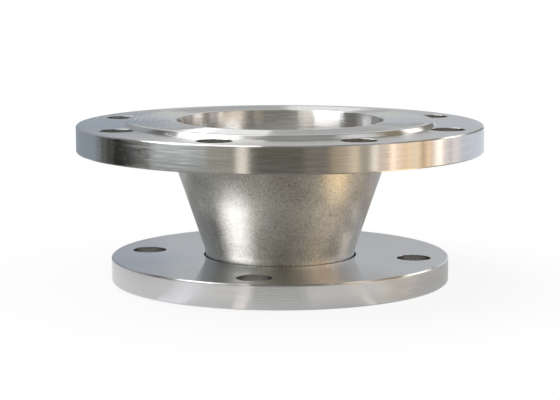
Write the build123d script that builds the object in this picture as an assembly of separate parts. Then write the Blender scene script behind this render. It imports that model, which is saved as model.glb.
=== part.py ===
from build123d import *
import math
import os

# Reducing flange piece in stainless steel: a wide drilled flange, a cone and a smaller drilled flange.
# All sizes are millimetres. The origin is the centre of the lower sealing face, on which the piece
# stands, and +Z runs up the common axis. X passes midway between two holes of the upper flange.

# Upper flange
upper_diameter = 228.6
upper_rim = 14.8
upper_bore = 116.1
upper_hole_count = 8
upper_hole_margin = 7.25

# Lower flange
lower_diameter = 190.5
lower_rim = 13.6
lower_hole_count = 4
lower_hole_margin = 9.5
lower_turn = -12.5

# Shared by both flanges
bolt_hole = 19.1
face_height = 2.3
face_slope = 1.4
face_margin = 1.95
inner_land = 4.45
groove_pitch = 3.2
groove_width = 1.2
groove_depth = 0.5
edge_break = 0.65
hole_break = 0.4

# Cone between the flanges
flange_gap = 59.6
wall = 3.6
foot_diameter = 84.4
foot_clearance = 1.0
foot_setback = 8.0
foot_rise = 2.5
bend_radius = 12.0

# Fillet welds
upper_weld_leg = 5.0
lower_weld_leg = 4.0

# Levels and fits that follow from the sizes above
lower_back = face_height + lower_rim
upper_back = lower_back + flange_gap
lower_bore = foot_diameter + 2 * foot_clearance
half_step = 360 / upper_hole_count / 2
foot_radius = foot_diameter / 2
bend_level = lower_back + foot_rise
wide_outer = upper_bore / 2 + wall
cone_slope = (wide_outer - foot_radius) / (upper_back - bend_level)


def turned(*corners):
    """Solid of revolution about Z from the corners (radius, height) of its half section."""
    section = make_face(Plane.XZ * Polyline(*corners, close=True))
    return revolve(section, Axis.Z)


def circles(shape, diameter):
    """Round edges of one diameter."""
    round_edges = shape.edges().filter_by(GeomType.CIRCLE)
    return round_edges.filter_by(lambda edge: math.isclose(2 * edge.radius, diameter, abs_tol=1e-4))


def grooves(bore, face, height):
    """Ring-shaped V cutters for a sealing face, from a plain land at the bore out to the face's edge."""
    rings = []
    lip = groove_width / 2
    radius = bore / 2 + inner_land
    while radius + groove_width < face / 2:
        floor = height - groove_depth
        rings.append(turned((radius - lip, height), (radius, floor), (radius + lip, height)))
        radius += groove_pitch
    return rings


def bolt_holes(circle, count, depth):
    """Cutters for a ring of through holes, the first one on X."""
    cutter = Cylinder(bolt_hole / 2, depth, align=(Align.CENTER, Align.CENTER, Align.MIN))
    return [place * cutter for place in PolarLocations(circle / 2, count)]


def flange(diameter, rim, bore, margin, count):
    """Plate flange lying on its back at Z = 0, with its grooved raised face upwards."""
    top = rim + face_height
    circle = diameter - 2 * margin - bolt_hole
    face = circle - bolt_hole - 2 * face_margin
    plate = turned(
        (bore / 2, 0),
        (diameter / 2, 0),
        (diameter / 2, rim),
        (face / 2 + face_slope, rim),
        (face / 2, top),
        (bore / 2, top),
    )
    plate = chamfer(circles(plate, diameter), edge_break)
    face_edges = [circles(plate, size).sort_by(Axis.Z)[-1] for size in (face, bore)]
    plate = chamfer(face_edges, hole_break)
    plate -= bolt_holes(circle, count, top)
    plate = chamfer(circles(plate, bolt_hole), hole_break)
    return plate - grooves(bore, face, top)


def upper_flange():
    """Wide flange, face up, with its holes astride the X and Y axes."""
    blank = flange(upper_diameter, upper_rim, upper_bore, upper_hole_margin, upper_hole_count)
    return Pos(0, 0, upper_back) * Rot(0, 0, half_step) * blank


def lower_flange():
    """Smaller flange, face down, turned a little against the upper one as it was welded."""
    blank = flange(lower_diameter, lower_rim, lower_bore, lower_hole_margin, lower_hole_count)
    return Pos(0, 0, lower_back) * Rot(0, 0, lower_turn) * Rot(180, 0, 0) * blank


def reducer_cone():
    """Conical shell whose wide end lies against the upper flange and whose foot slips into the lower."""
    outer_bend = (foot_radius, bend_level)
    inner_bend = (foot_radius - wall, bend_level)
    outline = Polyline(
        (foot_radius, foot_setback),
        outer_bend,
        (wide_outer, upper_back),
        (wide_outer - wall, upper_back),
        inner_bend,
        (foot_radius - wall, foot_setback),
        close=True,
    )
    section = make_face(outline)
    for bend, radius in ((outer_bend, bend_radius), (inner_bend, bend_radius + wall)):
        section = fillet(section.vertices().sort_by_distance((*bend, 0))[0], radius)
    return revolve(Plane.XZ * section, Axis.Z)


def upper_weld():
    """Fillet between the cone's outside and the back of the upper flange."""
    drop = upper_weld_leg / math.hypot(1, cone_slope)
    return turned(
        (wide_outer, upper_back),
        (wide_outer + upper_weld_leg, upper_back),
        (wide_outer - drop * cone_slope, upper_back - drop),
    )


def lower_weld():
    """Fillet inside the lower bore, across the end of the cone's foot."""
    bore_wall = lower_bore / 2
    return turned(
        (bore_wall, foot_setback),
        (bore_wall, foot_setback - lower_weld_leg),
        (bore_wall - lower_weld_leg, foot_setback),
    )


os.makedirs("parts", exist_ok=True)
for piece in (upper_flange, reducer_cone, lower_flange, upper_weld, lower_weld):
    shape = piece()
    export_step(shape, f"parts/{piece.__name__}.step")
    print(piece.__name__, "volume", round(shape.volume), "mm3")
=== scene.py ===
# %% [markdown]
# # A reducing flange piece, dressed for its picture
# The object is a short stainless steel pipe piece: a wide drilled flange above, a plain cone, and a
# smaller drilled flange below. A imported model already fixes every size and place. This lesson loads it,
# makes each piece again with finer edges and a true metal finish, and lights it like a small product
# photograph.

# %% Load the fixed model
import math

import bmesh
import bpy
from mathutils import Matrix, Vector


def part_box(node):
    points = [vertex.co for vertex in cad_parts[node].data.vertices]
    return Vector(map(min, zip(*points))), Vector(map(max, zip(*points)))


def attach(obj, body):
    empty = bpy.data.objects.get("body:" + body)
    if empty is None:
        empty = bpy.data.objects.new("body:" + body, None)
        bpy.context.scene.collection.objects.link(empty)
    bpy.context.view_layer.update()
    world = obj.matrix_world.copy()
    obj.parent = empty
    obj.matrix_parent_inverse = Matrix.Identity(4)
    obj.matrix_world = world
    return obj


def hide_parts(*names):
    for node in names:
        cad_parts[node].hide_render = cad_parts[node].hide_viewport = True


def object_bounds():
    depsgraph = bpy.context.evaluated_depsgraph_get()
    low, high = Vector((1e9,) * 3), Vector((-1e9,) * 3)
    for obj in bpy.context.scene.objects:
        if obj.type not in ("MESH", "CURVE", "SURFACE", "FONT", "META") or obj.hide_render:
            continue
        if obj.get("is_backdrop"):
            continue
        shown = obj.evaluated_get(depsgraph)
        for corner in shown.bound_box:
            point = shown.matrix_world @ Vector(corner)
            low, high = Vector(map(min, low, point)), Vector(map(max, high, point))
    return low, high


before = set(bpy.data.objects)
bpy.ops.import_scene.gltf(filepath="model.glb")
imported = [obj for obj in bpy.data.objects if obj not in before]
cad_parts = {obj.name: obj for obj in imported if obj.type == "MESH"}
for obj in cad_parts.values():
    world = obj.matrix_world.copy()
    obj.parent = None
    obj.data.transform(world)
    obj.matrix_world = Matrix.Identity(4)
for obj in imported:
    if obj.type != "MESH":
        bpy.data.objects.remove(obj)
cad_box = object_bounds()
MM = 0.001
print("CAD nodes:", sorted(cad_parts))

# %% [markdown]
# ## Sizes
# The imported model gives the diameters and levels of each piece, so they are read from its boxes. What a
# box can't tell, such as a bore, a hole circle or a small chamfer, is a named size here.

# %% Read the diameters and levels
def size_of(node):
    """Largest radius, lowest level and highest level of a round CAD node about Z."""
    low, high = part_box(node)
    return (high[1] - low[1]) / 2, low[2], high[2]


UPPER_RADIUS, UPPER_BACK, UPPER_TOP = size_of("upper_flange")
LOWER_RADIUS, LOWER_FACE, LOWER_BACK = size_of("lower_flange")
WIDE_RADIUS, FOOT_END, CONE_TOP = size_of("reducer_cone")
FACE_HEIGHT = 2.3 * MM
FACE_SLOPE = 1.4 * MM
BOLT_HOLE_RADIUS = 9.55 * MM
UPPER_BORE_RADIUS = 58.05 * MM
UPPER_CIRCLE_RADIUS = 97.5 * MM
UPPER_FACE_RADIUS = 86.0 * MM
LOWER_BORE_RADIUS = 43.2 * MM
LOWER_CIRCLE_RADIUS = 76.2 * MM
LOWER_FACE_RADIUS = 64.7 * MM
FOOT_RADIUS = 42.2 * MM
FOOT_RISE = 2.5 * MM
WALL = 3.6 * MM
for label, radius in (("upper", UPPER_RADIUS), ("lower", LOWER_RADIUS)):
    print(label, "flange", round(2 * radius / MM, 1), "mm across")

# %% [markdown]
# ## Turning a profile
# Every piece here was made on a lathe, so a lathe is the way to model it too: draw half of its section
# as a closed loop of edges, round the corners a little, and spin the loop once round the axis. A
# light-catching rounded edge is what makes metal look real, so the corners are bevelled before the
# spin, where it costs nothing.

# %% Tools for turned pieces
ROUND_STEPS = 256
MERGE_DISTANCE = 1e-7


def profile_loop(bm, points):
    """Closed loop of edges in the XZ plane from (radius, height) corners."""
    corners = [bm.verts.new((radius, 0, height)) for radius, height in points]
    for start, end in zip(corners, corners[1:] + corners[:1]):
        bm.edges.new((start, end))
    return corners


def round_corners(bm, corners, size, segments=3):
    """Rounds some corners of a profile."""
    bmesh.ops.bevel(
        bm,
        geom=corners,
        offset=size,
        affect="VERTICES",
        segments=segments,
        profile=0.5,
        material=-1,
    )


def spin_profile(bm, steps=ROUND_STEPS):
    """Turns the profile once round Z and closes the seam."""
    bmesh.ops.spin(
        bm,
        geom=bm.verts[:] + bm.edges[:],
        axis=(0, 0, 1),
        cent=(0, 0, 0),
        angle=math.tau,
        steps=steps,
        use_merge=True,
    )
    bmesh.ops.remove_doubles(bm, verts=bm.verts[:], dist=MERGE_DISTANCE)
    bmesh.ops.recalc_face_normals(bm, faces=bm.faces[:])


def to_object(bm, name):
    """Puts a bmesh into the scene as an object at the origin."""
    mesh = bpy.data.meshes.new(name)
    bm.to_mesh(mesh)
    bm.free()
    piece = bpy.data.objects.new(name, mesh)
    bpy.context.scene.collection.objects.link(piece)
    return piece


def machined_shading(piece, angle=18):
    """Smooth round surfaces, with crisp borders where two faces meet at more than the angle."""
    piece.data.shade_smooth()
    piece.data.set_sharp_from_angle(angle=math.radians(angle))
    print(piece.name, len(piece.data.polygons), "faces")


# %% [markdown]
# ## The flanges
# A plate flange is a thick ring with a raised sealing face. The turner leaves rings of V grooves in
# that face, to bite into the gasket, and breaks every sharp edge with a file or a small chamfer. The
# bolt holes are drilled last: here a Boolean modifier takes away one cutter that holds all of them,
# countersinks included.

# %% Profile of a flange
GROOVE_PITCH = 3.2 * MM
GROOVE_HALF_WIDTH = 0.6 * MM
GROOVE_DEPTH = 0.5 * MM
INNER_LAND = 4.45 * MM
EDGE_BREAK = 0.65 * MM
FINE_BREAK = 0.4 * MM
HOLE_BREAK = 0.2 * MM


def face_grooves(bore, face, top):
    """Corners of the V grooves across a raised face, from its edge inwards."""
    count = math.ceil((face - 2 * GROOVE_HALF_WIDTH - bore - INNER_LAND) / GROOVE_PITCH)
    corners = []
    for ring in reversed(range(count)):
        middle = bore + INNER_LAND + ring * GROOVE_PITCH
        corners.append((middle + GROOVE_HALF_WIDTH, top))
        corners.append((middle, top - GROOVE_DEPTH))
        corners.append((middle - GROOVE_HALF_WIDTH, top))
    return corners


def flange_blank(radius, bore, face, rim):
    """Turned flange on its back at Z = 0, before drilling."""
    top = rim + FACE_HEIGHT
    bm = bmesh.new()
    plate = [(bore, 0), (radius, 0), (radius, rim), (face + FACE_SLOPE, rim), (face, top)]
    corners = profile_loop(bm, plate + face_grooves(bore, face, top) + [(bore, top)])
    rim_corners, face_corners = corners[1:3], [corners[4], corners[-1]]
    round_corners(bm, rim_corners, EDGE_BREAK, segments=1)
    round_corners(bm, face_corners, FINE_BREAK)
    spin_profile(bm)
    return bm


# %% Drilling the bolt holes
OVERSHOOT = 0.3 * MM
HOLE_STEPS = 64


def hole_cutter(circle, count, first_angle, rim):
    """One closed cutter per bolt hole, wider at both ends to leave a small countersink."""
    bm = bmesh.new()
    lip = BOLT_HOLE_RADIUS + HOLE_BREAK + OVERSHOOT
    waist = [(BOLT_HOLE_RADIUS, HOLE_BREAK), (BOLT_HOLE_RADIUS, rim - HOLE_BREAK)]
    below = [(0, -OVERSHOOT), (lip, -OVERSHOOT)]
    above = [(lip, rim + OVERSHOOT), (0, rim + OVERSHOOT)]
    profile_loop(bm, below + waist + above)
    spin_profile(bm, HOLE_STEPS)
    bmesh.ops.translate(bm, verts=bm.verts[:], vec=(circle, 0, 0))
    first = bm.verts[:] + bm.edges[:] + bm.faces[:]
    for turn in range(1, count):
        made = bmesh.ops.duplicate(bm, geom=first)["geom"]
        copied = [part for part in made if isinstance(part, bmesh.types.BMVert)]
        matrix = Matrix.Rotation(math.tau * turn / count, 3, "Z")
        bmesh.ops.rotate(bm, verts=copied, cent=(0, 0, 0), matrix=matrix)
    start = Matrix.Rotation(first_angle, 3, "Z")
    bmesh.ops.rotate(bm, verts=bm.verts[:], cent=(0, 0, 0), matrix=start)
    return to_object(bm, "hole_cutter")


def cut_away(piece, cutter):
    """Subtracts the cutter for good and throws it away."""
    boolean = piece.modifiers.new("drill", "BOOLEAN")
    boolean.operation = "DIFFERENCE"
    boolean.solver = "EXACT"
    boolean.object = cutter
    evaluated = piece.evaluated_get(bpy.context.evaluated_depsgraph_get())
    drilled = bpy.data.meshes.new_from_object(evaluated)
    piece.modifiers.clear()
    piece.data = drilled
    bpy.data.objects.remove(cutter)


# %% Make both flanges
UPPER_HOLES = 8
LOWER_HOLES = 4
HALF_STEP = math.radians(180 / UPPER_HOLES)
LOWER_TURN = math.radians(-12.5)


def place_mesh(piece, matrix):
    """Moves the mesh itself, so that the object stays at the origin."""
    piece.data.transform(matrix)
    if matrix.determinant() < 0:
        piece.data.flip_normals()


upper_rim = UPPER_TOP - UPPER_BACK - FACE_HEIGHT
upper_blank = flange_blank(UPPER_RADIUS, UPPER_BORE_RADIUS, UPPER_FACE_RADIUS, upper_rim)
upper_flange = to_object(upper_blank, "upper_flange_turned")
cut_away(upper_flange, hole_cutter(UPPER_CIRCLE_RADIUS, UPPER_HOLES, HALF_STEP, upper_rim))
place_mesh(upper_flange, Matrix.Translation((0, 0, UPPER_BACK)))
machined_shading(upper_flange)

lower_rim = LOWER_BACK - LOWER_FACE - FACE_HEIGHT
lower_blank = flange_blank(LOWER_RADIUS, LOWER_BORE_RADIUS, LOWER_FACE_RADIUS, lower_rim)
lower_flange = to_object(lower_blank, "lower_flange_turned")
cut_away(lower_flange, hole_cutter(LOWER_CIRCLE_RADIUS, LOWER_HOLES, -LOWER_TURN, lower_rim))
face_down = Matrix.Translation((0, 0, LOWER_BACK)) @ Matrix.Rotation(math.pi, 4, "X")
place_mesh(lower_flange, face_down)
machined_shading(lower_flange)

# %% [markdown]
# ## The cone
# The cone is a shell of even wall. Its wide end meets the back of the upper flange and its narrow end
# has a short straight foot that slips into the lower bore, with a thin dark gap all round. The bend
# between foot and cone is soft, so it gets a wide bevel with many segments.

# %% Make the cone
BEND_SIZE = 2.0 * MM
BEND_SEGMENTS = 6
CONE_BANDS = 16


def subdivide_between(bm, low, high, cuts):
    """Divides the long sides of a profile between two levels into bands."""
    sides = []
    for edge in bm.edges:
        bottom, top = sorted(vert.co.z for vert in edge.verts)
        if bottom > low and top > high and top - bottom > (high - low) / 2:
            sides.append(edge)
    bmesh.ops.subdivide_edges(bm, edges=sides, cuts=cuts)


bend_level = LOWER_BACK + FOOT_RISE
cone = bmesh.new()
shell = profile_loop(
    cone,
    [
        (FOOT_RADIUS, FOOT_END),
        (FOOT_RADIUS, bend_level),
        (WIDE_RADIUS, CONE_TOP),
        (WIDE_RADIUS - WALL, CONE_TOP),
        (FOOT_RADIUS - WALL, bend_level),
        (FOOT_RADIUS - WALL, FOOT_END),
    ],
)
round_corners(cone, [shell[1], shell[4]], BEND_SIZE, segments=BEND_SEGMENTS)
subdivide_between(cone, bend_level, CONE_TOP - BEND_SIZE, CONE_BANDS)
spin_profile(cone)
reducer_cone = to_object(cone, "reducer_cone_shell")
machined_shading(reducer_cone, angle=30)

# %% [markdown]
# ## The welds
# Two fillet welds hold the piece together: one under the upper flange, round the cone, and one inside
# the lower bore. A hand-laid bead has ripples like a row of coins. The bead is a small triangle spun
# round the axis, and a loop then pushes its open face in and out along the way, one ripple every few
# millimetres. Only the points on the open face move, and the toes stay on the metal.

# %% Make the weld beads
RIPPLE_LENGTH = 2.6 * MM
RIPPLE_HEIGHT = 0.22 * MM
RIPPLE_LAG = 2.2
STEPS_PER_RIPPLE = 6
BEAD_CUTS = 5
FACE_SHARE = 0.05
TOE_SHARE = 0.95


def weld_bead(name, corner, first_toe, second_toe, ripples):
    """Fillet ring with a rippled face between its two toes."""
    bm = bmesh.new()
    toes = [Vector((radius, 0, height)) for radius, height in (first_toe, second_toe)]
    middle = (toes[0] + toes[1]) / 2
    loop = profile_loop(bm, [corner, first_toe, second_toe])
    face_edge = bm.edges.get((loop[1], loop[2]))
    bmesh.ops.subdivide_edges(bm, edges=[face_edge], cuts=BEAD_CUTS)
    spin_profile(bm, ripples * STEPS_PER_RIPPLE)
    into_corner = (Vector((corner[0], 0, corner[1])) - middle).normalized()
    half = (toes[1] - toes[0]).length / 2
    for vert in bm.verts:
        around = Matrix.Rotation(math.atan2(vert.co.y, vert.co.x), 3, "Z")
        local = around.inverted() @ vert.co - middle
        across = local.dot((toes[1] - toes[0]).normalized()) / half
        if abs(local.dot(into_corner)) > half * FACE_SHARE or abs(across) > TOE_SHARE:
            continue
        # ripples lag at the bead's edges, as they do behind a moving weld pool
        phase = math.atan2(vert.co.y, vert.co.x) * ripples - RIPPLE_LAG * across * across
        depth = RIPPLE_HEIGHT * (1 - across * across) * (0.5 + 0.5 * math.sin(phase))
        vert.co += around @ (into_corner * depth)
    bmesh.ops.recalc_face_normals(bm, faces=bm.faces[:])
    return to_object(bm, name)


def ripple_count(radius):
    """Whole number of ripples round a bead, so that the last one meets the first."""
    return round(math.tau * radius / RIPPLE_LENGTH)


UPPER_LEG = 5.0 * MM
LOWER_LEG = 4.0 * MM
cone_slope = (WIDE_RADIUS - FOOT_RADIUS) / (CONE_TOP - bend_level)
drop = UPPER_LEG / math.hypot(1, cone_slope)
upper_weld = weld_bead(
    "upper_weld_bead",
    (WIDE_RADIUS, CONE_TOP),
    (WIDE_RADIUS + UPPER_LEG, CONE_TOP),
    (WIDE_RADIUS - drop * cone_slope, CONE_TOP - drop),
    ripple_count(WIDE_RADIUS),
)
lower_weld = weld_bead(
    "lower_weld_bead",
    (LOWER_BORE_RADIUS, FOOT_END),
    (LOWER_BORE_RADIUS, FOOT_END - LOWER_LEG),
    (LOWER_BORE_RADIUS - LOWER_LEG, FOOT_END),
    ripple_count(LOWER_BORE_RADIUS),
)
for bead in (upper_weld, lower_weld):
    machined_shading(bead, angle=50)

# %% [markdown]
# ## Lathe marks for any turned surface
# A lathe tool leaves fine rings: along the axis on a rim, along the radius on a face. One node group
# makes them for both, from the object's own coordinates: the sum of radius and height counts the rings,
# and the direction round the axis lets them drift a little. It puts out a height for bump and a tone
# for colour and roughness.

# %% Node helpers
def empty_tree(owner):
    """Switches a material or world to nodes and clears them."""
    owner.use_nodes = True
    owner.node_tree.nodes.clear()
    return owner.node_tree


def add_node(tree, kind, place, **settings):
    """New node at a place, with some of its settings or input values filled in."""
    node = tree.nodes.new(kind)
    node.location = place
    for key, value in settings.items():
        if hasattr(node, key):
            setattr(node, key, value)
        else:
            node.inputs[key.replace("_", " ")].default_value = value
    return node


def math_node(tree, operation, place, first, second):
    """Math node fed by sockets or plain numbers."""
    node = add_node(tree, "ShaderNodeMath", place, operation=operation)
    for socket, value in zip(node.inputs, (first, second)):
        if isinstance(value, bpy.types.NodeSocket):
            tree.links.new(value, socket)
        else:
            socket.default_value = value
    return node.outputs[0]


def map_range(tree, value, source, target, place):
    """Rescales a socket's value from one (low, high) range to another and keeps it inside."""
    node = add_node(tree, "ShaderNodeMapRange", place)
    for label, limit in zip(("From Min", "From Max", "To Min", "To Max"), (*source, *target)):
        node.inputs[label].default_value = limit
    tree.links.new(value, node.inputs["Value"])
    return node.outputs[0]


def new_group(name, inputs, outputs):
    """Node group with named sockets, its input node and its output node."""
    group = bpy.data.node_groups.new(name, "ShaderNodeTree")
    for label, kind, default in inputs:
        socket = group.interface.new_socket(label, in_out="INPUT", socket_type=kind)
        if default is not None:
            socket.default_value = default
    for label, kind in outputs:
        group.interface.new_socket(label, in_out="OUTPUT", socket_type=kind)
    entry = add_node(group, "NodeGroupInput", (-900, 0))
    leave = add_node(group, "NodeGroupOutput", (900, 0))
    return group, entry, leave


FLOAT, VECTOR = "NodeSocketFloat", "NodeSocketVector"
NOISE_RANGE = (0.3, 0.7)  # where most values of a noise lie

# %% Group: lathe rings
lathe_rings, entry, leave = new_group(
    "lathe rings",
    [
        ("Position", VECTOR, None),
        ("Rings per Metre", FLOAT, 2500.0),
        ("Drift", FLOAT, 1.5),
        ("Waviness", FLOAT, 1.0),
    ],
    [("Height", FLOAT), ("Tone", FLOAT)],
)
split = add_node(lathe_rings, "ShaderNodeSeparateXYZ", (-700, 100))
lathe_rings.links.new(entry.outputs["Position"], split.inputs[0])
flat = add_node(lathe_rings, "ShaderNodeCombineXYZ", (-520, 200))
lathe_rings.links.new(split.outputs["X"], flat.inputs["X"])
lathe_rings.links.new(split.outputs["Y"], flat.inputs["Y"])
reach = add_node(lathe_rings, "ShaderNodeVectorMath", (-360, 260), operation="LENGTH")
heading = add_node(lathe_rings, "ShaderNodeVectorMath", (-360, 60), operation="NORMALIZE")
lathe_rings.links.new(flat.outputs[0], reach.inputs[0])
lathe_rings.links.new(flat.outputs[0], heading.inputs[0])
along = math_node(lathe_rings, "ADD", (-180, 240), reach.outputs["Value"], split.outputs["Z"])
ring_count = math_node(lathe_rings, "MULTIPLY", (-20, 240), along, entry.outputs["Rings per Metre"])
turned_heading = add_node(lathe_rings, "ShaderNodeVectorMath", (-180, 40), operation="SCALE")
lathe_rings.links.new(heading.outputs[0], turned_heading.inputs[0])
lathe_rings.links.new(entry.outputs["Drift"], turned_heading.inputs["Scale"])
drift_split = add_node(lathe_rings, "ShaderNodeSeparateXYZ", (-20, 40))
lathe_rings.links.new(turned_heading.outputs[0], drift_split.inputs[0])
lookup = add_node(lathe_rings, "ShaderNodeCombineXYZ", (150, 160))
lathe_rings.links.new(ring_count, lookup.inputs["X"])
lathe_rings.links.new(drift_split.outputs["X"], lookup.inputs["Y"])
lathe_rings.links.new(drift_split.outputs["Y"], lookup.inputs["Z"])
fine = add_node(lathe_rings, "ShaderNodeTexNoise", (330, 260), Scale=1.0, Detail=3.0, Roughness=0.7)
broad = add_node(lathe_rings, "ShaderNodeTexNoise", (330, 0), Scale=0.45, Detail=4.0, Roughness=0.65)
for noise in (fine, broad):
    lathe_rings.links.new(lookup.outputs[0], noise.inputs["Vector"])
wave = math_node(lathe_rings, "MULTIPLY", (520, 60), broad.outputs["Fac"], entry.outputs["Waviness"])
relief = math_node(lathe_rings, "ADD", (700, 160), fine.outputs["Fac"], wave)
lathe_rings.links.new(relief, leave.inputs["Height"])
lathe_rings.links.new(broad.outputs["Fac"], leave.inputs["Tone"])
print("lathe rings:", len(lathe_rings.nodes), "nodes")

# %% [markdown]
# ## Mottled skin for blasted metal
# The cone was blasted, not turned: its skin is a dull, fine mottle with paler and darker spots. Two
# noises of different size make a height and a tone. The weld metal and the hole walls use the same
# group with other values.

# %% Group: blasted skin
GRAIN_SHARE = 0.7
blasted_skin, entry, leave = new_group(
    "blasted skin",
    [("Position", VECTOR, None), ("Grain per Metre", FLOAT, 900.0), ("Patch per Metre", FLOAT, 60.0)],
    [("Height", FLOAT), ("Tone", FLOAT)],
)
grain = add_node(blasted_skin, "ShaderNodeTexNoise", (-300, 200), Detail=2.0, Roughness=0.6)
patch = add_node(blasted_skin, "ShaderNodeTexNoise", (-300, -100), Detail=4.0, Roughness=0.6)
for noise, label in ((grain, "Grain per Metre"), (patch, "Patch per Metre")):
    blasted_skin.links.new(entry.outputs["Position"], noise.inputs["Vector"])
    blasted_skin.links.new(entry.outputs[label], noise.inputs["Scale"])
grain_part = math_node(blasted_skin, "MULTIPLY", (0, 100), grain.outputs["Fac"], GRAIN_SHARE)
patch_part = math_node(blasted_skin, "MULTIPLY", (0, -100), patch.outputs["Fac"], 1 - GRAIN_SHARE)
tone = math_node(blasted_skin, "ADD", (200, 0), grain_part, patch_part)
blasted_skin.links.new(grain.outputs["Fac"], leave.inputs["Height"])
blasted_skin.links.new(tone, leave.inputs["Tone"])
print("blasted skin:", len(blasted_skin.nodes), "nodes")

# %% [markdown]
# ## The metals
# All the metals are the same stainless steel with different skins. Turned steel is shiny along its
# rings and blurred across them, which the anisotropy of the shader gives when its tangent runs round
# the axis. Blasted steel is evenly dull. Each material mixes two close colours by the group's tone,
# lets the same tone vary its roughness, and feeds the height to a bump.

# %% Material maker
ACROSS_THE_RINGS = 0.25


def tone_ramp(tree, tone, dark, pale, place):
    """Colour ramp between two close colours."""
    ramp = add_node(tree, "ShaderNodeValToRGB", place)
    for stop, position, colour in zip(ramp.color_ramp.elements, NOISE_RANGE, (dark, pale)):
        stop.position = position
        stop.color = (*colour, 1)
    tree.links.new(tone, ramp.inputs[0])
    return ramp.outputs[0]


def steel(name, skin, skin_values, dark, pale, roughness, bump_depth, anisotropy=0.0):
    """Metal whose colour, roughness and bump all come from one skin group."""
    material = bpy.data.materials.new(name)
    tree = empty_tree(material)
    place = add_node(tree, "ShaderNodeTexCoord", (-900, 0))
    group = add_node(tree, "ShaderNodeGroup", (-700, 0), node_tree=skin)
    for label, value in skin_values.items():
        group.inputs[label].default_value = value
    tree.links.new(place.outputs["Object"], group.inputs["Position"])
    surface = add_node(tree, "ShaderNodeBsdfPrincipled", (0, 0), Metallic=1.0)
    surface.inputs["Anisotropic"].default_value = anisotropy
    surface.inputs["Anisotropic Rotation"].default_value = ACROSS_THE_RINGS
    colour = tone_ramp(tree, group.outputs["Tone"], dark, pale, (-400, 250))
    tree.links.new(colour, surface.inputs["Base Color"])
    rough = map_range(tree, group.outputs["Tone"], NOISE_RANGE, roughness, (-400, 0))
    tree.links.new(rough, surface.inputs["Roughness"])
    bump = add_node(tree, "ShaderNodeBump", (-200, -200), Strength=1.0, Distance=bump_depth)
    tree.links.new(group.outputs["Height"], bump.inputs["Height"])
    tree.links.new(bump.outputs["Normal"], surface.inputs["Normal"])
    if anisotropy:
        tangent = add_node(tree, "ShaderNodeTangent", (-200, -400), direction_type="RADIAL", axis="Z")
        tree.links.new(tangent.outputs[0], surface.inputs["Tangent"])
    output = add_node(tree, "ShaderNodeOutputMaterial", (300, 0))
    tree.links.new(surface.outputs[0], output.inputs["Surface"])
    print("material", name)
    return material


# %% Three skins of one steel
turned_steel = steel(
    "turned steel",
    lathe_rings,
    {"Rings per Metre": 2400.0, "Drift": 11.0, "Waviness": 3.6},
    dark=(0.64, 0.64, 0.64),
    pale=(0.72, 0.72, 0.72),
    roughness=(0.12, 0.20),
    bump_depth=0.012 * MM,
    anisotropy=1.0,
)
blasted_steel = steel(
    "blasted steel",
    blasted_skin,
    {"Grain per Metre": 1300.0, "Patch per Metre": 70.0},
    dark=(0.33, 0.32, 0.29),
    pale=(0.92, 0.91, 0.87),
    roughness=(0.26, 0.38),
    bump_depth=0.05 * MM,
)
weld_steel = steel(
    "weld metal",
    blasted_skin,
    {"Grain per Metre": 2200.0, "Patch per Metre": 160.0},
    dark=(0.42, 0.40, 0.38),
    pale=(0.66, 0.63, 0.58),
    roughness=(0.3, 0.45),
    bump_depth=0.03 * MM,
)

# %% [markdown]
# ## Hand each piece to the model
# Every new piece takes the place of one CAD node, rides on the same body and gets its one
# material.

# %% Dress the model
for piece, node, slot, material in (
    (upper_flange, "upper_flange", "turned_steel", turned_steel),
    (lower_flange, "lower_flange", "turned_steel", turned_steel),
    (reducer_cone, "reducer_cone", "blasted_steel", blasted_steel),
    (upper_weld, "upper_weld", "weld_metal", weld_steel),
    (lower_weld, "lower_weld", "weld_metal", weld_steel),
):
    piece.data.materials.clear()
    piece.data.materials.append(material)
    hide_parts(node)
    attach(piece, "root")
    print(piece.name, "stands for", node)

# %% [markdown]
# ## Walls of the bolt holes
# A drill leaves its marks round its own axis, not round the flange's, so the lathe finish would blur
# the holes the wrong way. Their walls get a plain, even steel as a second material. The faces are found
# by measuring: they stand upright, no farther from a hole's centre than its radius.

# %% Give the hole walls their own steel
drilled_steel = steel(
    "drilled steel",
    blasted_skin,
    {"Grain per Metre": 1800.0, "Patch per Metre": 240.0},
    dark=(0.60, 0.59, 0.57),
    pale=(0.80, 0.79, 0.77),
    roughness=(0.14, 0.24),
    bump_depth=0.004 * MM,
)


UPRIGHT_LIMIT = 0.1


def mark_hole_walls(flange, circle, count, first_angle):
    """Puts the second material on the walls of a ring of holes."""
    marked = 0
    for turn in range(count):
        angle = first_angle + math.tau * turn / count
        middle = Vector((circle * math.cos(angle), circle * math.sin(angle)))
        for face in flange.data.polygons:
            apart = (face.center.xy - middle).length
            if abs(face.normal.z) < UPRIGHT_LIMIT and apart < BOLT_HOLE_RADIUS + HOLE_BREAK / 2:
                face.material_index = 1
                marked += 1
    print(flange.name, marked, "faces in", count, "hole walls")


for flange, circle, count, first_angle in (
    (upper_flange, UPPER_CIRCLE_RADIUS, UPPER_HOLES, HALF_STEP),
    (lower_flange, LOWER_CIRCLE_RADIUS, LOWER_HOLES, LOWER_TURN),
):
    flange.data.materials.append(drilled_steel)
    mark_hole_walls(flange, circle, count, first_angle)

# %% [markdown]
# ## Camera
# The photograph was taken with a long lens from just above the upper flange. Distance, height, tilt and
# lens come from fitting a pinhole camera to the edges of the flanges.

# %% Set up the camera
VIEW_DISTANCE = 1.0272
VIEW_ELEVATION = math.radians(5.725)
VIEW_HEADING = math.radians(-2.25)
VIEW_TILT = math.radians(8.136)
PICTURE_WIDTH = 560
FOCAL_PIXELS = 1823.8
SENSOR_WIDTH = 36

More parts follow.
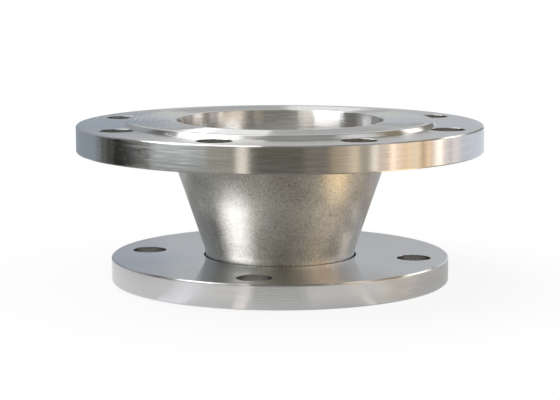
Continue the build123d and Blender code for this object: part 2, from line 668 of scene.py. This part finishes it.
camera = bpy.data.cameras.new("camera")
camera.sensor_width = SENSOR_WIDTH
camera.lens = FOCAL_PIXELS * SENSOR_WIDTH / PICTURE_WIDTH
camera.dof.use_dof = False
stand = bpy.data.objects.new("camera", camera)
bpy.context.scene.collection.objects.link(stand)
plate_level = UPPER_TOP - FACE_HEIGHT
level_distance = VIEW_DISTANCE * math.cos(VIEW_ELEVATION)
spot = Vector((0, -level_distance, plate_level + VIEW_DISTANCE * math.sin(VIEW_ELEVATION)))
stand.location = Matrix.Rotation(VIEW_HEADING, 3, "Z") @ spot
stand.rotation_euler = (math.pi / 2 - VIEW_TILT, 0, VIEW_HEADING)
bpy.context.scene.camera = stand
bpy.context.scene.view_settings.view_transform = "Standard"
print("camera at", [round(v, 3) for v in stand.location], "lens", round(camera.lens, 1))

# %% [markdown]
# ## Studio
# Bright metal has hardly a colour of its own: it shows the room. So the room matters more than the
# lamps. A white table, a soft surround and rings of standing cards, some dark and some warm, give the
# upright stripes on the rims. The cards are seen by the metal only, not by the camera, and throw no
# shadow. Lamps could stand behind real cards, but paint that glows by itself is simpler to set.

# %% Glowing paint
def glow_material(name, colour, top_colour, levels, folds):
    """Paint that glows by itself, one colour low and one high, with soft upright folds if wanted."""
    material = bpy.data.materials.new(name)
    tree = empty_tree(material)
    place = add_node(tree, "ShaderNodeTexCoord", (-900, 0))
    split = add_node(tree, "ShaderNodeSeparateXYZ", (-700, 100))
    tree.links.new(place.outputs["Object"], split.inputs[0])
    rise = map_range(tree, split.outputs["Z"], levels, (0, 1), (-520, 100))
    ramp = add_node(tree, "ShaderNodeValToRGB", (-340, 100))
    ramp.color_ramp.elements[0].color = (*colour, 1)
    ramp.color_ramp.elements[1].color = (*top_colour, 1)
    tree.links.new(rise, ramp.inputs[0])
    upright = add_node(tree, "ShaderNodeVectorMath", (-700, -200), operation="MULTIPLY")
    upright.inputs[1].default_value = (1, 1, 0)
    tree.links.new(place.outputs["Object"], upright.inputs[0])
    noise = add_node(tree, "ShaderNodeTexNoise", (-520, -200), Scale=75.0, Detail=3.0, Roughness=0.65)
    tree.links.new(upright.outputs[0], noise.inputs["Vector"])
    strength = map_range(tree, noise.outputs["Fac"], NOISE_RANGE, (1 - folds, 1 + folds), (-340, -200))
    glow = add_node(tree, "ShaderNodeEmission", (0, 0))
    tree.links.new(ramp.outputs[0], glow.inputs["Color"])
    tree.links.new(strength, glow.inputs["Strength"])
    output = add_node(tree, "ShaderNodeOutputMaterial", (200, 0))
    tree.links.new(glow.outputs[0], output.inputs["Surface"])
    return material


# %% [markdown]
# ## The table
# The table is plain white paint. Under soft lamps paint never renders quite white, so white glow is
# mixed in for the camera's rays: all of it far out, a little less near the piece, where part of the
# soft shadow stays. Rays that come by way of the metal see some of that white near the piece too.

# %% White table
TABLE_RADIUS = 6.0
CAMERA_FADE, CAMERA_WHITE = (0.11, 0.2), (0.91, 1.0)
METAL_FADE, METAL_WHITE = (0.15, 0.4), (0.40, 0.0)


def table_material():
    """White paint mixed with white glow, by the kind of ray and the distance from the piece."""
    material = bpy.data.materials.new("white table")
    tree = empty_tree(material)
    paint = add_node(tree, "ShaderNodeBsdfDiffuse", (-200, 100), Color=(0.86, 0.86, 0.86, 1))
    white = add_node(tree, "ShaderNodeEmission", (-200, -100), Color=(1, 1, 1, 1), Strength=1.0)
    place = add_node(tree, "ShaderNodeTexCoord", (-1000, 0))
    reach = add_node(tree, "ShaderNodeVectorMath", (-800, 0), operation="LENGTH")
    tree.links.new(place.outputs["Object"], reach.inputs[0])
    far = map_range(tree, reach.outputs["Value"], CAMERA_FADE, CAMERA_WHITE, (-600, 0))
    near = map_range(tree, reach.outputs["Value"], METAL_FADE, METAL_WHITE, (-600, -260))
    ray = add_node(tree, "ShaderNodeLightPath", (-600, 300))
    seen = math_node(tree, "MULTIPLY", (-400, 300), ray.outputs["Is Camera Ray"], far)
    mirrored = math_node(tree, "MULTIPLY", (-400, 120), ray.outputs["Is Glossy Ray"], near)
    share = math_node(tree, "MAXIMUM", (-200, 260), seen, mirrored)
    mix = add_node(tree, "ShaderNodeMixShader", (0, 0))
    output = add_node(tree, "ShaderNodeOutputMaterial", (200, 0))
    tree.links.new(share, mix.inputs[0])
    tree.links.new(paint.outputs[0], mix.inputs[1])
    tree.links.new(white.outputs[0], mix.inputs[2])
    tree.links.new(mix.outputs[0], output.inputs["Surface"])
    return material


bm = bmesh.new()
bmesh.ops.create_circle(bm, cap_ends=True, segments=96, radius=TABLE_RADIUS)
table_top = to_object(bm, "table_top")
table_top.data.materials.append(table_material())
table_top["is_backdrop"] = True
print("table", 2 * TABLE_RADIUS, "m across")

# %% [markdown]
# ## Cards
# A card is one edge swept part of the way round the axis with spin, so that it stands on a circle round
# the piece. The edge is given by two pairs of radius and height, and a card can stand, lean or lie.

# %% Card maker
DEGREES_PER_STEP = 4


def card_sector(name, start, end, colour, near_edge, far_edge, top_colour=None, folds=0.0):
    """Card between two headings in degrees, seen from above: 0 is the camera, 90 its right."""
    bm = bmesh.new()
    ends = [bm.verts.new((0, -radius, height)) for radius, height in (near_edge, far_edge)]
    bm.edges.new(ends)
    first = Matrix.Rotation(math.radians(start) + VIEW_HEADING, 3, "Z")
    bmesh.ops.rotate(bm, verts=bm.verts[:], cent=(0, 0, 0), matrix=first)
    bmesh.ops.spin(
        bm,
        geom=bm.verts[:] + bm.edges[:],
        axis=(0, 0, 1),
        cent=(0, 0, 0),
        angle=math.radians(end - start),
        steps=max(2, round(abs(end - start) / DEGREES_PER_STEP)),
        use_merge=False,
    )
    card = to_object(bm, name)
    levels = (near_edge[1], far_edge[1])
    card.data.materials.append(glow_material(name, colour, top_colour or colour, levels, folds))
    card.visible_camera = False
    card.visible_diffuse = False
    card.visible_shadow = False
    card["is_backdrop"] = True


def standing_card(name, start, end, colour, radius, low, high, top_colour=None, folds=0.0):
    """Upright card between two headings and two heights."""
    card_sector(name, start, end, colour, (radius, low), (radius, high), top_colour, folds)


# %% [markdown]
# ## Low ring of cards
# The rims stand upright and look straight out, so a card shows on them as an upright stripe. From the
# left the stripes are a blue-grey wall, a dark doorway, a silver screen, a dim room with one cream
# strip in it, and a row of warm curtains with folds.

# %% Low ring of cards, seen in the rims
LOW_RADIUS = 0.27
LOW_TOP = 0.11
for name, start, end, colour in (
    ("blue_grey_wall", -150, -101, (0.31, 0.355, 0.40)),
    ("door_frame", -101, -96, (0.24, 0.26, 0.27)),
    ("grey_gap", -31, -18.5, (0.34, 0.325, 0.27)),
    ("cream_strip", -18.5, -13.5, (1.08, 0.99, 0.86)),
    ("strip_shade", -13.5, -10, (0.22, 0.215, 0.175)),
    ("dark_room", -10, 10, (0.135, 0.125, 0.100)),
    ("dim_room", 10, 20, (0.22, 0.20, 0.165)),
    ("bright_post", 31, 34, (0.95, 0.78, 0.56)),
    ("tan_shelf", 34, 40, (0.50, 0.44, 0.35)),
    ("white_post", 40, 43, (1.35, 1.22, 1.05)),
    ("lavender_wall", 97, 150, (0.72, 0.75, 0.82)),
):
    standing_card(name, start, end, colour, LOW_RADIUS, 0, LOW_TOP)
DOOR_TOP = 0.096
for name, start, end, colour in (
    ("door_edge", -96, -90, (0.12, 0.125, 0.12)),
    ("door_leaf", -90, -84, (0.06, 0.062, 0.052)),
    ("dark_doorway", -84, -69, (0.008, 0.009, 0.006)),
    ("door_shadow", -69, -64, (0.035, 0.037, 0.030)),
    ("door_post", -64, -60, (0.09, 0.10, 0.09)),
    ("screen_edge", -60, -56, (0.30, 0.315, 0.30)),
):
    standing_card(name, start, end, colour, LOW_RADIUS, 0, DOOR_TOP)
CURTAIN_TOP = 0.15
CURTAIN_FOLDS = 0.65
for name, start, end, colour in (
    ("brown_shelf", 20, 26, (0.42, 0.345, 0.24)),
    ("warm_shelf", 26, 31, (0.62, 0.50, 0.38)),
    ("pink_curtain", 43, 48, (0.92, 0.76, 0.62)),
    ("pale_gold_curtain", 48, 55, (1.34, 1.06, 0.82)),
    ("gold_curtain", 55, 60, (1.25, 0.90, 0.60)),
    ("tan_curtain", 60, 65, (0.88, 0.71, 0.52)),
    ("orange_curtain", 65, 74, (1.28, 0.92, 0.60)),
    ("cream_curtain", 74, 82, (1.35, 1.18, 1.02)),
    ("pale_curtain", 82, 97, (0.90, 0.82, 0.79)),
):
    standing_card(name, start, end, colour, LOW_RADIUS, 0, CURTAIN_TOP, folds=CURTAIN_FOLDS)
SCREEN_FOOT_TOP = 0.045
for name, low, high, colour, top_colour in (
    ("silver_foot", 0, SCREEN_FOOT_TOP, (0.13, 0.14, 0.135), (0.15, 0.16, 0.155)),
    ("silver_screen", SCREEN_FOOT_TOP, LOW_TOP, (0.15, 0.16, 0.155), (1.00, 1.05, 1.04)),
):
    standing_card(name, -56, -31, colour, LOW_RADIUS, low, high, top_colour)
print("low ring", LOW_RADIUS, "m from the axis, up to", CURTAIN_TOP, "m high")

# %% [markdown]
# ## High ring of cards
# The inside of the bore and the sloped shoulders mirror steeper parts of the room, over the top of the
# low ring. A second ring, farther out and taller, gives them a dim room in front, a bright window at
# the left and a bright strip behind at the right.

# %% High ring of cards, seen in the bore and the sloped shoulders
HIGH_RADIUS = 0.40
HIGH_FOOT_TOP = 0.24
HIGH_TOP = 0.65
WINDOW_TOP = 0.26
for name, start, end, high, colour, top_colour in (
    ("high_blue_wall", -150, -112, 0.36, (0.34, 0.36, 0.38), (0.46, 0.49, 0.52)),
    ("high_dark_wall", -112, -78, 0.42, (0.21, 0.205, 0.20), (0.15, 0.145, 0.14)),
    ("high_cream_wall", -42, -22, HIGH_TOP, (1.10, 1.04, 0.92), (0.80, 0.75, 0.66)),
    ("high_gold_wall", 84, 107, 0.50, (0.20, 0.14, 0.05), (0.42, 0.36, 0.26)),
    ("high_bright_strip", 107, 124, 0.36, (1.60, 1.45, 1.28), (2.4, 2.3, 2.2)),
    ("high_brown_wall", 124, 150, 0.36, (0.22, 0.21, 0.17), (0.40, 0.40, 0.38)),
):
    standing_card(name, start, end, colour, HIGH_RADIUS, LOW_TOP, high, top_colour)
for name, start, end, low, high, colour, top_colour in (
    ("dark_room_foot", -22, 52, LOW_TOP, HIGH_FOOT_TOP, (0.18, 0.17, 0.14), (0.23, 0.22, 0.18)),
    ("dark_room_top", -22, 52, HIGH_FOOT_TOP, HIGH_TOP, (0.64, 0.62, 0.55), (0.30, 0.29, 0.25)),
    ("grey_wall_foot", 52, 84, LOW_TOP, HIGH_FOOT_TOP, (0.13, 0.14, 0.16), (0.30, 0.30, 0.31)),
    ("grey_wall", 52, 84, HIGH_FOOT_TOP, HIGH_TOP, (0.80, 0.79, 0.77), (1.00, 1.00, 1.02)),
):
    standing_card(name, start, end, colour, HIGH_RADIUS, low, high, top_colour)
standing_card("high_window", -78, -42, (1.6, 1.6, 1.58), HIGH_RADIUS, DOOR_TOP, WINDOW_TOP)
print("high ring", HIGH_RADIUS, "m from the axis, up to", HIGH_TOP, "m high")

# %% [markdown]
# ## Back wall
# The flat faces are seen at a glancing angle, so they mirror what stands behind the piece: a wall that
# is bluish at the left and turns paler towards its top.

# %% Back wall, seen in the flat faces
BACK_RADIUS = 0.60
BACK_FOOT_TOP, BACK_MIDDLE_TOP, BACK_TOP = 0.10, 0.20, 0.60
WALL_CREAM = (1.00, 0.97, 0.91)
for side, start, end, low_colour, middle_colour in (
    ("far_left", 190, 212, (0.43, 0.46, 0.51), (0.27, 0.32, 0.39)),
    ("left", 180, 190, (0.49, 0.52, 0.56), (0.54, 0.56, 0.58)),
    ("right", 148, 180, (0.54, 0.55, 0.57), (0.48, 0.51, 0.55)),
):
    foot, middle = "back_wall_foot_" + side, "back_wall_middle_" + side
    standing_card(foot, start, end, low_colour, BACK_RADIUS, 0, BACK_FOOT_TOP)
    band = (BACK_RADIUS, BACK_FOOT_TOP, BACK_MIDDLE_TOP)
    standing_card(middle, start, end, low_colour, *band, middle_colour)
wall_grey = (0.72, 0.72, 0.70)
standing_card("back_wall_top", 148, 212, wall_grey, BACK_RADIUS, BACK_MIDDLE_TOP, BACK_TOP, WALL_CREAM)
print("back wall", BACK_RADIUS, "m from the axis, up to", BACK_TOP, "m high")

# %% [markdown]
# ## Patches on the table
# The camera looks a little down, so the lower rim mirrors the table in front of it. Glowing patches
# that lie on the table give the rim its faint stripes: the pale ones are painted pools of light, the
# grey and dim ones painted shade on the table.

# %% Patches on the table, seen in the lower rim
PATCH_LEVEL = 0.0005
PATCH_REACH = 0.200
# glowing patches, seen only by the metal: bright, pale and cream are painted light, grey and dim are
# painted shade
for name, start, end, inner, colour in (
    ("grey_patch", -125, -66, 0.125, (0.74, 0.74, 0.75)),
    ("bright_patch", -48, -36, 0.100, (1.08, 1.09, 1.15)),
    ("pale_patch_left", -36, -17, 0.125, (0.90, 0.89, 0.89)),
    ("cream_patch", -17, -12.5, 0.100, (1.15, 1.09, 1.07)),
    ("dim_patch", -12, 9, 0.125, (0.60, 0.60, 0.59)),
    ("pale_patch_right", 12, 33, 0.125, (0.90, 0.88, 0.86)),
    ("bright_line", 33.8, 35.2, 0.100, (1.60, 1.45, 1.30)),
    ("pale_patch_far_right", 36, 50, 0.125, (0.88, 0.87, 0.86)),
):
    card_sector(name, start, end, colour, (inner, PATCH_LEVEL), (PATCH_REACH, PATCH_LEVEL))
print("patches reach", PATCH_REACH, "m from the axis")

# %% [markdown]
# ## Floor round the piece
# The cone leans outwards as it rises, so it mirrors the floor all round. Here a ring of glowing cards
# floats just over the table, from the lower rim outwards. It is dim in front, so that the blasted skin
# keeps its depth: partly a darker floor, partly painted shade like the shade under the upper flange. It
# is gold at the right, painted warm light, where the metal shows a warm glow.

# %% Floor round the piece, seen in the cone
FLOOR_NEAR, FLOOR_MIDDLE, FLOOR_FAR = (0.0965, 0.0145), (0.140, 0.010), (0.190, 0.004)
# glowing cards: the dim ones are partly a darker floor, partly painted shade; the gold ones are painted
# warm light
for name, start, end, near_colour, far_colour in (
    ("floor_dark_left", -150, -80, (0.44, 0.45, 0.45), (0.18, 0.185, 0.18)),
    ("floor_silver", -80, -62, (0.50, 0.50, 0.49), (0.18, 0.185, 0.17)),
    ("floor_grey", -62, -36, (0.36, 0.355, 0.33), (0.14, 0.135, 0.12)),
    ("floor_cream", -36, -12, (0.44, 0.42, 0.37), (0.20, 0.185, 0.16)),
    ("floor_brown", -12, 30, (0.37, 0.345, 0.30), (0.06, 0.054, 0.045)),
    ("floor_tan", 30, 44, (0.60, 0.53, 0.44), (0.30, 0.25, 0.18)),
    ("floor_gold", 44, 67, (1.05, 0.91, 0.73), (2.50, 1.80, 0.95)),
    ("floor_pale", 67, 100, (0.54, 0.49, 0.44), (0.55, 0.44, 0.33)),
    ("floor_dark_right", 100, 150, (0.34, 0.33, 0.34), (0.34, 0.32, 0.30)),
):
    card_sector(name, start, end, near_colour, FLOOR_NEAR, FLOOR_MIDDLE, far_colour)
# outer ring of glowing cards: the dim ones are partly floor, partly painted shade; the gold one is
# painted warm light
for name, start, end, colour in (
    ("far_floor_left", -150, -80, (0.22, 0.225, 0.22)),
    ("far_floor_middle", -80, 46, (0.10, 0.095, 0.08)),
    ("far_floor_gold", 46, 70, (1.20, 0.88, 0.50)),
    ("far_floor_right", 70, 150, (0.42, 0.38, 0.34)),
):
    card_sector(name, start, end, colour, FLOOR_MIDDLE, FLOOR_FAR)
print("floor cards from", FLOOR_NEAR[0], "to", FLOOR_FAR[0], "m from the axis")

# %% [markdown]
# ## Surround and lamps
# The camera sees plain white paper all round. The metal sees a dim grey room with a fifth of that white
# in it, because an all-white room would wash out the stripes. Five soft lamps do the rest: a wide one
# overhead, a small one behind at the left, two side windows and a low one for the foot of the cone.

# %% Surround
PAPER_IN_METAL = 0.2
world = bpy.data.worlds.new("studio surround")
bpy.context.scene.world = world
tree = empty_tree(world)
room = add_node(tree, "ShaderNodeBackground", (-200, 100), Color=(0.18, 0.18, 0.175, 1), Strength=1.0)
paper = add_node(tree, "ShaderNodeBackground", (-200, -100), Color=(1, 1, 1, 1), Strength=1.0)
ray = add_node(tree, "ShaderNodeLightPath", (-800, 300))
mirrored = math_node(tree, "MULTIPLY", (-600, 200), ray.outputs["Is Glossy Ray"], PAPER_IN_METAL)
share = math_node(tree, "MAXIMUM", (-400, 300), ray.outputs["Is Camera Ray"], mirrored)
mix = add_node(tree, "ShaderNodeMixShader", (0, 0))
output = add_node(tree, "ShaderNodeOutputWorld", (200, 0))
tree.links.new(share, mix.inputs[0])
tree.links.new(room.outputs[0], mix.inputs[1])
tree.links.new(paper.outputs[0], mix.inputs[2])
tree.links.new(mix.outputs[0], output.inputs["Surface"])
print("surround", [round(v, 3) for v in room.inputs["Color"].default_value[:3]])

# %% Lamps
LAMP_TARGET = Vector((0, 0, 0.05))


def softbox(name, heading, elevation, distance, width, height, glow):
    """Soft rectangular lamp at a heading and elevation in degrees, aimed at the piece."""
    lamp = bpy.data.lights.new(name, "AREA")
    lamp.shape = "RECTANGLE"
    lamp.size, lamp.size_y = width, height
    lamp.energy = glow * math.pi * width * height
    holder = bpy.data.objects.new(name, lamp)
    turn = math.radians(heading) + VIEW_HEADING
    rise = math.radians(elevation)
    level = distance * math.cos(rise)
    offset = (level * math.sin(turn), -level * math.cos(turn), distance * math.sin(rise))
    holder.location = LAMP_TARGET + Vector(offset)
    holder.rotation_euler = (LAMP_TARGET - holder.location).to_track_quat("-Z", "Y").to_euler()
    bpy.context.scene.collection.objects.link(holder)
    print("lamp", name, round(lamp.energy, 3), "W")


softbox("overhead_left", -100, 68, 1.1, 0.8, 0.7, 1.6)
softbox("back_left", -122, 54, 0.9, 0.20, 0.20, 2.2)
softbox("window_left", -73, 42, 0.5, 0.20, 0.28, 1.5)
softbox("window_right", -51, 42, 0.5, 0.20, 0.28, 1.2)
softbox("low_window", -65, 26, 0.36, 0.25, 0.09, 3.8)

# %% [markdown]
# ## The size
# The dressed pieces have to fill the same box as the fixed model. Both boxes are printed and kept.

# %% Print both boxes
seen_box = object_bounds()
for label, box in (("CAD box", cad_box), ("visual box", seen_box)):
    print(label, [[round(value, 4) for value in corner] for corner in box])
